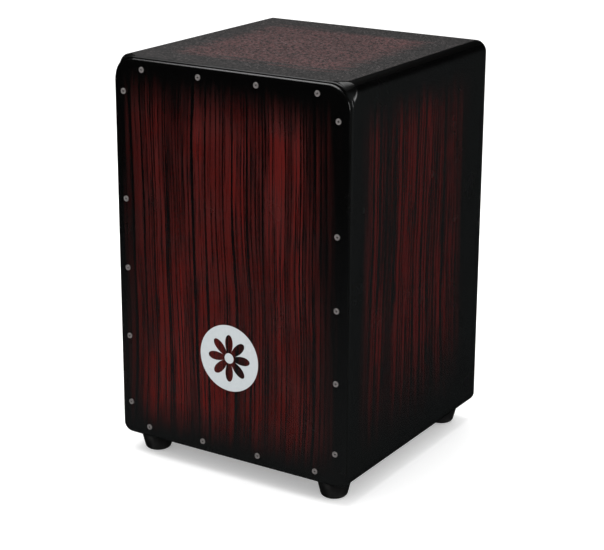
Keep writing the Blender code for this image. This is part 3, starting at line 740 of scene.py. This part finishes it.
def shell_panel(name, corner, rows, normals, outer, inner):
    """One mitred panel.  Its outer normals come from the whole shell, so the mitres don't show."""
    per_corner = 2 * ARC_STEPS + 1
    start = corner * per_corner + ARC_STEPS
    columns = [(start + i) % (4 * per_corner) for i in range(per_corner + 1)]
    bm = bmesh.new()
    skin = [[bm.verts.new(row[c]) for c in columns] for row in rows]
    core = []
    y_rabbet = BACK_LOW.y
    for y, thickness in ((Y_SHELL, PANEL_T), (y_rabbet, PANEL_T),
                         (y_rabbet, RABBET_W), (Y_BACK, RABBET_W)):
        core.append([bm.verts.new((x, y, z)) for x, z in panel_inner_ends(corner, thickness)])
    for row, following in zip(skin, skin[1:]):
        bridge(bm, row, following, closed=False)
    skin_count = len(bm.faces)
    for pair, following in zip(core, core[1:]):
        bridge(bm, pair, following, closed=False)
    bm.faces.new(skin[0] + core[0][::-1])
    bm.faces.new(skin[-1] + core[-1][::-1])
    for end in (0, -1):
        bm.faces.new([row[end] for row in skin] + [pair[end] for pair in reversed(core)])
    bm.faces.ensure_lookup_table()
    bm.faces[skin_count].material_index = 1
    bmesh.ops.recalc_face_normals(bm, faces=bm.faces)
    mesh = bpy.data.meshes.new(name)
    bm.to_mesh(mesh)
    bm.free()
    mesh.shade_smooth()
    width = len(columns)
    loop_normals = []
    for polygon in mesh.polygons:
        for index in polygon.vertices:
            if polygon.index < skin_count:
                loop_normals.append(normals[index // width][columns[index % width]])
            else:
                loop_normals.append(polygon.normal.copy())
    mesh.normals_split_custom_set(loop_normals)
    mesh.materials.append(outer)
    mesh.materials.append(inner)
    return link(name, mesh)


def make_shell(materials):
    """The four panels: node, slot, outer material and the material of the inner face."""
    rows, normals = shell_surface()
    panels = (("seat_panel", "seat_grit", "seat", "inner_flat"),
              ("side_panel_left", "shell_lacquer", "side", "inner"),
              ("base_panel", "shell_lacquer", "black", "inner_flat"),
              ("side_panel_right", "shell_lacquer", "side", "inner"))
    for corner, (node, slot, outer, inner) in enumerate(panels):
        piece = shell_panel(node + "_finish", corner, rows, normals,
                            materials[outer], materials[inner])
        finish_piece(piece, BODY, slot, [node])


def make_tapa(materials):
    """The striking face, with a rounded front edge and a thin broken edge at its back."""
    thickness = TAPA_HIGH.y - TAPA_LOW.y
    depths = rim_depths(TAPA_ROUND, TAPA_RIM_STEPS)
    stations = [(depth, rim_inset(depth, TAPA_ROUND)) for depth in depths]
    stations += [(thickness - TAPA_BACK_BREAK, 0.0), (thickness, TAPA_BACK_BREAK)]
    bottom_r = EDGE_R - TAPA_INSET
    radii = (TAPA_CORNER_R, TAPA_CORNER_R, bottom_r, bottom_r)

    def build(bm):
        rings = []
        for depth, inset in stations:
            points = outline(radii, inset, TAPA_INSET)
            rings.append([bm.verts.new((x, Y_FACE + depth, z)) for x, z in points])
        for ring, following in zip(rings, rings[1:]):
            bridge(bm, ring, following)
        bm.faces.new(rings[0])
        bm.faces.new(rings[-1]).material_index = 1

    piece = link("tapa_finish", mesh_from(build, "tapa_finish"))
    finish_piece(piece, BODY, "tapa_print", ["tapa"], materials["tapa"], materials["inner_tapa"])


def make_back_panel(materials):
    """The back, with a round sound port whose rims are rounded over."""
    low, high = BACK_LOW, BACK_HIGH
    corner_angles = [math.atan2(z - PORT_Z, x) for x in (low.x, high.x) for z in (low.z, high.z)]
    angles = [2 * math.pi * i / PORT_SEGMENTS - math.pi for i in range(PORT_SEGMENTS)]
    for wanted in corner_angles:
        nearest = min(range(PORT_SEGMENTS), key=lambda i: abs(angles[i] - wanted))
        angles[nearest] = wanted

    def on_rectangle(angle, y):
        run_x, run_z = math.cos(angle), math.sin(angle)
        reach_x = (high.x if run_x > 0 else low.x) / run_x if abs(run_x) > 1e-9 else 1e9
        edge_z = (high.z if run_z > 0 else low.z) - PORT_Z
        reach_z = edge_z / run_z if abs(run_z) > 1e-9 else 1e9
        reach = min(reach_x, reach_z)
        return (reach * run_x, y, PORT_Z + reach * run_z)

    def build(bm):
        rings = [[bm.verts.new(on_rectangle(a, low.y)) for a in angles]]
        depths = rim_depths(PORT_ROUND)
        stations = [(low.y + depth, rim_inset(depth, PORT_ROUND)) for depth in depths]
        stations += [(high.y - depth, rim_inset(depth, PORT_ROUND)) for depth in reversed(depths)]
        for y, inset in stations:
            r = PORT_R + inset
            rings.append([bm.verts.new((r * math.cos(a), y, PORT_Z + r * math.sin(a))) for a in angles])
        rings.append([bm.verts.new(on_rectangle(a, high.y)) for a in angles])
        for ring, following in zip(rings, rings[1:] + rings[:1]):
            bridge(bm, ring, following)
        for face in bm.faces:
            face.material_index = 1 if all(v.co.y < low.y + 1e-6 for v in face.verts) else 0

    piece = link("back_panel_finish", mesh_from(build, "back_panel_finish"))
    finish_piece(piece, BODY, "back_ply", ["back_panel"], materials["back"], materials["inner_tapa"])


# Screws, feet and turned parts

def plus_outline(arm, width, z):
    """Twelve points of a plus sign."""
    a = arm / 2
    w = width / 2
    return [(a, -w, z), (a, w, z), (w, w, z), (w, a, z), (-w, a, z), (-w, w, z),
            (-a, w, z), (-a, -w, z), (-w, -w, z), (-w, -a, z), (w, -a, z), (w, -w, z)]


def screw_mesh(name, head_r, head_h, shank_r, length, material):
    """A pan-head cross-recess screw along Z, its head's underside at z = 0."""
    crown_steps = 6
    crown_r = 0.86 * head_r
    crown_drop = 0.304 * head_h
    profile = [(0, head_h)]
    for i in range(1, crown_steps + 1):
        t = i / crown_steps
        profile.append((crown_r * t, head_h - crown_drop * t ** 2.4))
    profile += arc(crown_r, 0.42 * head_h, head_r - crown_r, 70, 0, 4)
    tip = 0.3 * length
    profile += [(0.97 * head_r, 0), (shank_r, 0), (shank_r, tip - length), (0, -length)]
    blank = link(name + "_blank", mesh_from(turned(profile, SCREW_SEGMENTS), name, 40))

    def recess(bm):
        low = [bm.verts.new(p) for p in plus_outline(0.70 * head_r, 0.20 * head_r, -0.35 * head_h)]
        high = [bm.verts.new(p) for p in plus_outline(1.20 * head_r, 0.36 * head_r, 1.3 * head_h)]
        bridge(bm, low, high)
        bm.faces.new(low)
        bm.faces.new(high)

    mesh = subtract(blank, link(name + "_recess", mesh_from(recess, name + "_recess")), name)
    mesh.materials.append(material)
    return mesh


def nodes_called(prefix):
    """The names of the CAD nodes that start with the prefix, in order."""
    return sorted(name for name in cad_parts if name.startswith(prefix))


def make_tapa_screws(material):
    """The screws round the tapa, each one's cross turned its own way."""
    size, _ = middle_of("tapa_screw_top_1")
    mesh = screw_mesh("tapa_screw_finish", size.x / 2, TAPA_HEAD_H, TAPA_SHANK_R,
                      TAPA_SCREW_LENGTH, material)
    for i, node in enumerate(nodes_called("tapa_screw_")):
        _, middle = middle_of(node)
        seat = (middle.x, Y_FACE, middle.z)
        twist = Matrix.Rotation(math.radians(SCREW_TWIST * i % 90), 4, "Z")
        piece = link(node + "_finish", mesh, along((0, -1, 0), seat) @ twist)
        finish_piece(piece, BODY, "screw_steel", [node])


def foot_profile(height, top_r):
    """(r, z) points round a tapered foot that is hollowed from below for its screw."""
    hole, rim, edge, lip = FOOT_HOLE_R, FOOT_TOP_BREAK, FOOT_EDGE_R, FOOT_LIP
    slope = math.degrees(math.atan2(top_r - FOOT_BOTTOM_R, height - edge))
    profile = [(hole, height), (top_r - rim, height)]
    profile += arc(top_r - rim, height - rim, rim, 90, -slope, 5)[1:]
    profile += arc(FOOT_BOTTOM_R - edge, edge, edge, -slope, -90, 8)
    profile += arc(FOOT_RECESS_R + lip, lip, lip, 270, 180, 3)
    profile += [(FOOT_RECESS_R, FOOT_SEAT_Z), (hole, FOOT_SEAT_Z)]
    return profile


def make_feet(rubber_material, screw_material):
    """Four feet, and in each the screw that holds it."""
    size, _ = middle_of("foot_front_left")
    foot = mesh_from(turned(foot_profile(size.z, size.x / 2), FOOT_SEGMENTS), "foot_finish", 30)
    foot.materials.append(rubber_material)
    screw = screw_mesh("foot_screw_finish", FOOT_HEAD_R, FOOT_HEAD_H, FOOT_SHANK_R,
                       FOOT_SCREW_LENGTH, screw_material)
    for node in nodes_called("foot_"):
        _, middle = middle_of(node)
        if node.startswith("foot_screw_"):
            place = along((0, 0, -1), (middle.x, middle.y, FOOT_SEAT_Z))
            finish_piece(link(node + "_finish", screw, place), BODY, "screw_steel", [node])
        else:
            place = Matrix.Translation((middle.x, middle.y, 0))
            finish_piece(link(node + "_finish", foot, place), BODY, "foot_rubber", [node])


def make_clamp_screws(material):
    """The screws that press the clamp plates on the snare wires."""
    mesh = screw_mesh("clamp_screw_finish", CLAMP_HEAD_R, CLAMP_HEAD_H, CLAMP_SHANK_R,
                      CLAMP_SCREW_LENGTH, material)
    for node in nodes_called("clamp_screw_"):
        _, middle = middle_of(node)
        plate = node.rsplit("_", 1)[0].replace("screw", "plate")
        seat = (middle.x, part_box(plate)[0].y, middle.z)
        finish_piece(link(node + "_finish", mesh, along((0, -1, 0), seat)),
                     SNARE, "black_steel", [node])


def along_y(node):
    """A placement for a turned piece that runs to the back from its CAD node's front."""
    _, middle = middle_of(node)
    return along((0, 1, 0), (middle.x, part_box(node)[0].y, middle.z))


def make_bolt(material):
    """The tension bolt: socket head with a broken rim, threaded shank."""
    size, _ = middle_of("tension_bolt")
    length = size.y
    head_r = size.x / 2
    shank = length - BOLT_HEAD_H
    profile = [(0, 0), (BOLT_TIP_R, 0)]
    turns = int((shank - PLAIN_SHANK_LENGTH - THREAD_PITCH) / THREAD_PITCH)
    for i in range(turns):
        z = BOLT_TIP_H + i * THREAD_PITCH
        profile += [(THREAD_ROOT_R, z), (THREAD_R, z + THREAD_PITCH / 2)]
    profile += [(PLAIN_SHANK_R, shank - PLAIN_SHANK_LENGTH), (PLAIN_SHANK_R, shank),
                (head_r - BREAK, shank), (head_r, shank + BREAK)]
    profile += arc(head_r - BOLT_HEAD_ROUND, length - BOLT_HEAD_ROUND, BOLT_HEAD_ROUND, 0, 90, 4)
    profile += [(0, length)]
    name = "tension_bolt_finish"
    blank = link("bolt_blank", mesh_from(turned(profile, SCREW_SEGMENTS), name, 32))

    def socket(bm):
        bmesh.ops.create_cone(bm, cap_ends=True, segments=6, radius1=HEX_R, radius2=HEX_R,
                              depth=2 * HEX_DEPTH, matrix=Matrix.Translation((0, 0, length)))

    mesh = subtract(blank, link("bolt_socket", mesh_from(socket, "bolt_socket")), name)
    piece = link(name, mesh, along_y("tension_bolt"))
    finish_piece(piece, "bolt_rotor", "black_steel", ["tension_bolt"], material)


def make_pad(material):
    """The domed pressure pad, drilled from behind for the bolt's tip."""
    size, _ = middle_of("pressure_pad")
    radius = size.x / 2
    height = size.y
    reach = math.asin((radius - BREAK) / PAD_DOME_R)
    profile = [(0, 0)]
    for i in range(1, PAD_DOME_STEPS + 1):
        angle = reach * i / PAD_DOME_STEPS
        profile.append((PAD_DOME_R * math.sin(angle), PAD_DOME_R * (1 - math.cos(angle))))
    bore_floor = height - PAD_BORE_DEPTH
    profile += [(radius, profile[-1][1] + BREAK), (radius, height - BREAK),
                (radius - BREAK, height), (PAD_BORE_R, height), (PAD_BORE_R, bore_floor),
                (0, bore_floor)]
    name = "pressure_pad_finish"
    pad = link(name, mesh_from(turned(profile), name), along_y("pressure_pad"))
    finish_piece(pad, "pad_slider", "screw_steel", ["pressure_pad"], material)


def make_nut(material):
    """The T-nut: flange at the front, barrel running back."""
    size, _ = middle_of("t_nut")
    radius = size.x / 2
    length = size.y
    bore, barrel, flange, fillet = NUT_BORE_R, NUT_BARREL_R, NUT_FLANGE_T, NUT_FILLET
    profile = [(bore, BREAK), (bore + BREAK, 0), (radius - BREAK, 0), (radius, BREAK),
               (radius, flange - BREAK), (radius - BREAK, flange), (barrel + fillet, flange),
               (barrel, flange + fillet), (barrel, length - BREAK), (barrel - BREAK, length),
               (bore, length)]
    name = "t_nut_finish"
    nut = link(name, mesh_from(turned(profile), name), along_y("t_nut"))
    finish_piece(nut, BODY, "screw_steel", ["t_nut"], material)


# Snare wires

def coil(bm, start, end):
    """A close helix of round wire between two points, closed at both ends."""
    start = Vector(start)
    run = Vector(end) - start
    length = run.length
    run.normalize()
    side = run.cross(Vector((0, 1, 0))).normalized()
    up = run.cross(side)
    steps = int(length / COIL_PITCH * COIL_POINTS)
    rings = []
    for i in range(steps + 1):
        angle = 2 * math.pi * i / COIL_POINTS
        out = side * math.cos(angle) + up * math.sin(angle)
        centre = start + run * (length * i / steps) + out * COIL_R
        rings.append([bm.verts.new(centre + (out * math.cos(a) + run * math.sin(a)) * COIL_WIRE_R)
                      for a in (0, math.pi / 2, math.pi, 3 * math.pi / 2)])
    for ring, following in zip(rings, rings[1:]):
        bridge(bm, ring, following)
    bm.faces.new(rings[0])
    bm.faces.new(rings[-1])


def end_plate(bm, middle, half):
    """A thin plate with broken edges, given by its middle and its half sizes."""
    made = bmesh.ops.create_cube(bm, size=2, matrix=Matrix.Translation(middle)
                                 @ Matrix.Diagonal((*half, 1)))
    edges = list({edge for vert in made["verts"] for edge in vert.link_edges})
    bmesh.ops.bevel(bm, geom=edges, offset=PLATE_BREAK, segments=2, affect="EDGES")


def make_snares(material):
    """Two sets of coiled strands that fan out from their end plates."""
    half_width = (STRANDS - 1) / 2 * STRAND_PITCH + STRAND_W / 2
    for side, node in ((-1, "snare_wires_left"), (1, "snare_wires_right")):
        low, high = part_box(node)
        inner_x = high.x if side < 0 else low.x
        centre = inner_x + side * half_width
        plate_y = high.y - PLATE_T / 2
        tip_y = low.y + PLATE_T / 2 + STRAND_SPARE

        def build(bm):
            end_plate(bm, Vector((centre, plate_y, (PLATE_LOW + PLATE_TOP) / 2)),
                      Vector((half_width, PLATE_T / 2, (PLATE_TOP - PLATE_LOW) / 2)))
            for index in range(STRANDS):
                from_middle = index - (STRANDS - 1) / 2
                x = centre + from_middle * STRAND_PITCH
                angle = side * STRAND_TILT + from_middle * STRAND_FAN
                end_x = x + (high.z - PLATE_TOP) * math.tan(angle)
                coil(bm, (x, plate_y, PLATE_TOP - STRAND_IN_PLATE),
                     (end_x, tip_y, high.z - STRAND_SPARE))

        piece = link(node + "_finish", mesh_from(build, node + "_finish", 60))
        finish_piece(piece, SNARE, "snare_steel", [node], material)


# CAD nodes that keep their meshes

def dress_cad_nodes(materials):
    """Finished materials for the blocks, bars, plates and pins, by the start of their names."""
    grain = {"corner_block_": "wood_y", "bearing_block_": "wood_z", "anchor_bar": "wood_x",
             "snare_bar": "wood_bar", "clamp_plate_": "black_steel", "pivot_pin_": "zinc"}
    for prefix, key in grain.items():
        for node in nodes_called(prefix):
            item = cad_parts[node]
            item.data.materials.clear()
            item.data.materials.append(materials[key])


# Floor, lights and camera

def make_floor():
    """Pale paper with a faint glow of its own, which keeps its shadows light."""
    def build(bm):
        bmesh.ops.create_grid(bm, x_segments=8, y_segments=8, size=FLOOR_HALF)

    floor = link("floor", mesh_from(build, "floor"))
    paint = Paint("floor_paper", roughness=0.9, specular=0.2)
    tone = paint.noise(paint.place, 2.0, 2.0)
    paper = paint.mix(tone, PAPER, PAPER_BRIGHT)
    floor.data.materials.append(paint.set(Base_Color=paper, Emission_Color=(1.0, 1.0, 1.0),
                                          Emission_Strength=FLOOR_GLOW))
    floor.visible_glossy = False


def soft_light(name, place, aim, size, power):
    """A rectangular area light at a place, turned towards a point."""
    light = bpy.data.lights.new(name, "AREA")
    light.shape = "RECTANGLE"
    light.size, light.size_y = size
    light.energy = power
    item = bpy.data.objects.new(name, light)
    item.location = place
    item.rotation_euler = (Vector(aim) - Vector(place)).to_track_quat("-Z", "Y").to_euler()
    bpy.context.scene.collection.objects.link(item)


def make_lights():
    """White surroundings that gloss doesn't mirror, a softbox overhead and one at the right."""
    world = bpy.data.worlds.new("studio")
    world.use_nodes = True
    background = world.node_tree.nodes["Background"]
    background.inputs["Color"].default_value = (1.0, 1.0, 1.0, 1)
    background.inputs["Strength"].default_value = 1.0
    world.cycles_visibility.glossy = False
    bpy.context.scene.world = world
    soft_light("overhead", OVERHEAD_PLACE, OVERHEAD_AIM, OVERHEAD_SIZE, OVERHEAD_POWER)
    soft_light("right", RIGHT_PLACE, RIGHT_AIM, RIGHT_SIZE, RIGHT_POWER)


def make_camera():
    """A long lens at the front right, a little above the seat."""
    camera = bpy.data.cameras.new("camera")
    camera.sensor_width = 36.0
    camera.lens = CAMERA_LENS
    camera.shift_y = CAMERA_SHIFT_Y
    level = math.cos(CAMERA_ELEVATION)
    back = Vector((math.sin(CAMERA_AZIMUTH) * level, -math.cos(CAMERA_AZIMUTH) * level,
                   math.sin(CAMERA_ELEVATION)))
    item = bpy.data.objects.new("camera", camera)
    item.location = CAMERA_PLACE
    turn = (-back).to_track_quat("-Z", "Y").to_matrix() @ Matrix.Rotation(CAMERA_ROLL, 3, "Z")
    item.rotation_euler = turn.to_euler()
    bpy.context.scene.collection.objects.link(item)
    bpy.context.scene.camera = item


def make_materials():
    """Every material that the sub-parts use, by a short name."""
    return {
        "tapa": tapa_material(),
        "side": side_material(),
        "seat": seat_material(),
        "black": black_lacquer(),
        "back": black_lacquer(),
        "inner": bare_wood("inner_ply", 2, 1.0, PLY, PLY_DARK),
        "inner_flat": bare_wood("inner_ply_flat", 1, 7.0, PLY, PLY_DARK),
        "inner_tapa": bare_wood("inner_veneer", 2, 2.0, VENEER, VENEER_DARK),
        "wood_x": bare_wood("bar_wood", 0, 3.0, WOOD, WOOD_DARK),
        "wood_bar": bare_wood("snare_bar_wood", 0, 5.0, WOOD, WOOD_DARK),
        "wood_y": bare_wood("block_wood", 1, 4.0, WOOD, WOOD_DARK),
        "wood_z": bare_wood("bearing_wood", 2, 6.0, WOOD, WOOD_DARK),
        "zinc": steel("zinc_steel", ZINC, ZINC_DULL, 0.38, metallic=0.5),
        "snare_steel": steel("drawn_wire", WIRE, WIRE_DULL, 0.30),
        "black_steel": steel("black_oxide", OXIDE, OXIDE_DULL, 0.42),
        "rubber": rubber(),
    }


def main():
    """Build the sub-parts, then the floor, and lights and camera."""
    bpy.context.scene.view_settings.view_transform = "Standard"
    materials = make_materials()
    make_shell(materials)
    make_tapa(materials)
    make_back_panel(materials)
    make_tapa_screws(materials["zinc"])
    make_feet(materials["rubber"], materials["zinc"])
    make_clamp_screws(materials["black_steel"])
    make_bolt(materials["black_steel"])
    make_pad(materials["zinc"])
    make_nut(materials["zinc"])
    make_snares(materials["snare_steel"])
    dress_cad_nodes(materials)
    make_floor()
    make_lights()
    make_camera()


main()
